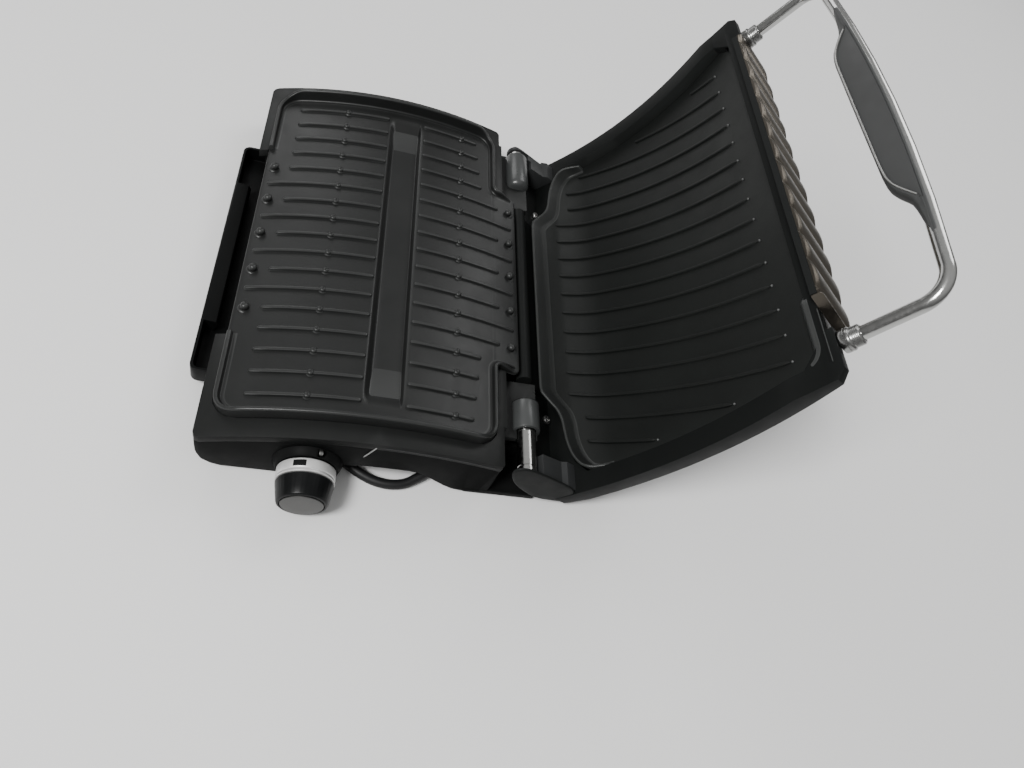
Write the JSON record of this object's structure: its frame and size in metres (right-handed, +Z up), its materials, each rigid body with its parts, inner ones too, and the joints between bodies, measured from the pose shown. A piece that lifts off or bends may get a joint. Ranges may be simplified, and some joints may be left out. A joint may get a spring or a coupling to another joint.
{
  "type": "panini press",
  "caption": "Hinged contact grill with an arched ribbed cooking plate below, a ribbed plate in its lid, a bail handle, a heat dial, a slide-out drip tray and a mains lead.",
  "frame": {"origin": "centre of the footprint, without the mains lead, on the surface that the feet stand on", "axes": "+X towards the heat dial side, +Y from the drip tray at the front towards the hinge at the rear, +Z up"},
  "size_m": [0.3575, 0.3866, 0.2441],
  "materials": {
    "housing": "satin moulded black plastic",
    "tray": "semi-gloss moulded black plastic",
    "plate_lower": "satin dark non-stick coating on cast aluminium",
    "plate_upper": "satin dark non-stick coating on cast aluminium",
    "chrome": "polished",
    "fascia": "bronze tinted satin anodised",
    "grip": "matt dark grey moulded plastic",
    "silver": "metallised satin silver",
    "screw": "zinc plated",
    "rubber": "matt",
    "cord": "matt black flexible sheath",
    "element": "dark oxidised sheath",
    "tin": "aluminised sheet",
    "ceramic": "off-white ceramic filled moulding",
    "brass": "bare"
  },
  "bodies": {
    "base": {"base_tub": "housing", "base_bezel": "housing", "lower_plate": "plate_lower", "lower_reflector": "tin", "lower_element": "element", "thermostat_body": "ceramic", "terminal_block": "ceramic", "thermal_fuse": "ceramic", "dial_collar": "housing", "dial_pointer": "silver", "foot_front_left": "rubber", "foot_front_right": "rubber", "foot_rear_left": "rubber", "foot_rear_right": "rubber", "case_screw_1": "screw", "case_screw_2": "screw", "case_screw_3": "screw", "case_screw_4": "screw", "rear_drip_channel": "housing", "strain_relief": "rubber", "power_cord": "cord", "cord_coil": "cord", "cord_tail": "cord", "plug_body": "cord", "plug_blade_1": "brass", "plug_blade_2": "brass"},
    "drip_tray": {"drip_tray": "tray"},
    "knob": {"knob_body": "housing", "knob_ring": "silver", "knob_cap": "silver", "thermostat_shaft": "brass"},
    "lid": {"lid_frame": "housing", "upper_plate": "plate_upper", "upper_element": "element", "upper_reflector": "tin", "lid_cover": "housing", "lid_fascia": "fascia", "lid_arm_left": "housing", "lid_arm_right": "housing", "hinge_pin_left": "chrome", "hinge_pin_right": "chrome", "lid_screw_left": "screw", "lid_screw_right": "screw", "handle_tube": "chrome", "handle_collar_left": "chrome", "handle_collar_right": "chrome", "grip_upper": "grip", "grip_lower": "grip"}
  },
  "joints": [
    {"name": "lid_hinge", "type": "hinge", "parent": "base", "child": "lid", "pos_m": [-0.01415, 0.02544, 0.0272], "axis": [1, 0, 0], "range_deg": [0, 121]},
    {"name": "knob_turn", "type": "hinge", "parent": "base", "child": "knob", "pos_m": [0.15785, -0.10906, 0.0189], "axis": [-1, 0, 0], "range_deg": [0, 270]},
    {"name": "drip_tray_slide", "type": "slide", "parent": "base", "child": "drip_tray", "axis": [0, -1, 0], "range_m": [0, 0.055]}
  ]
}
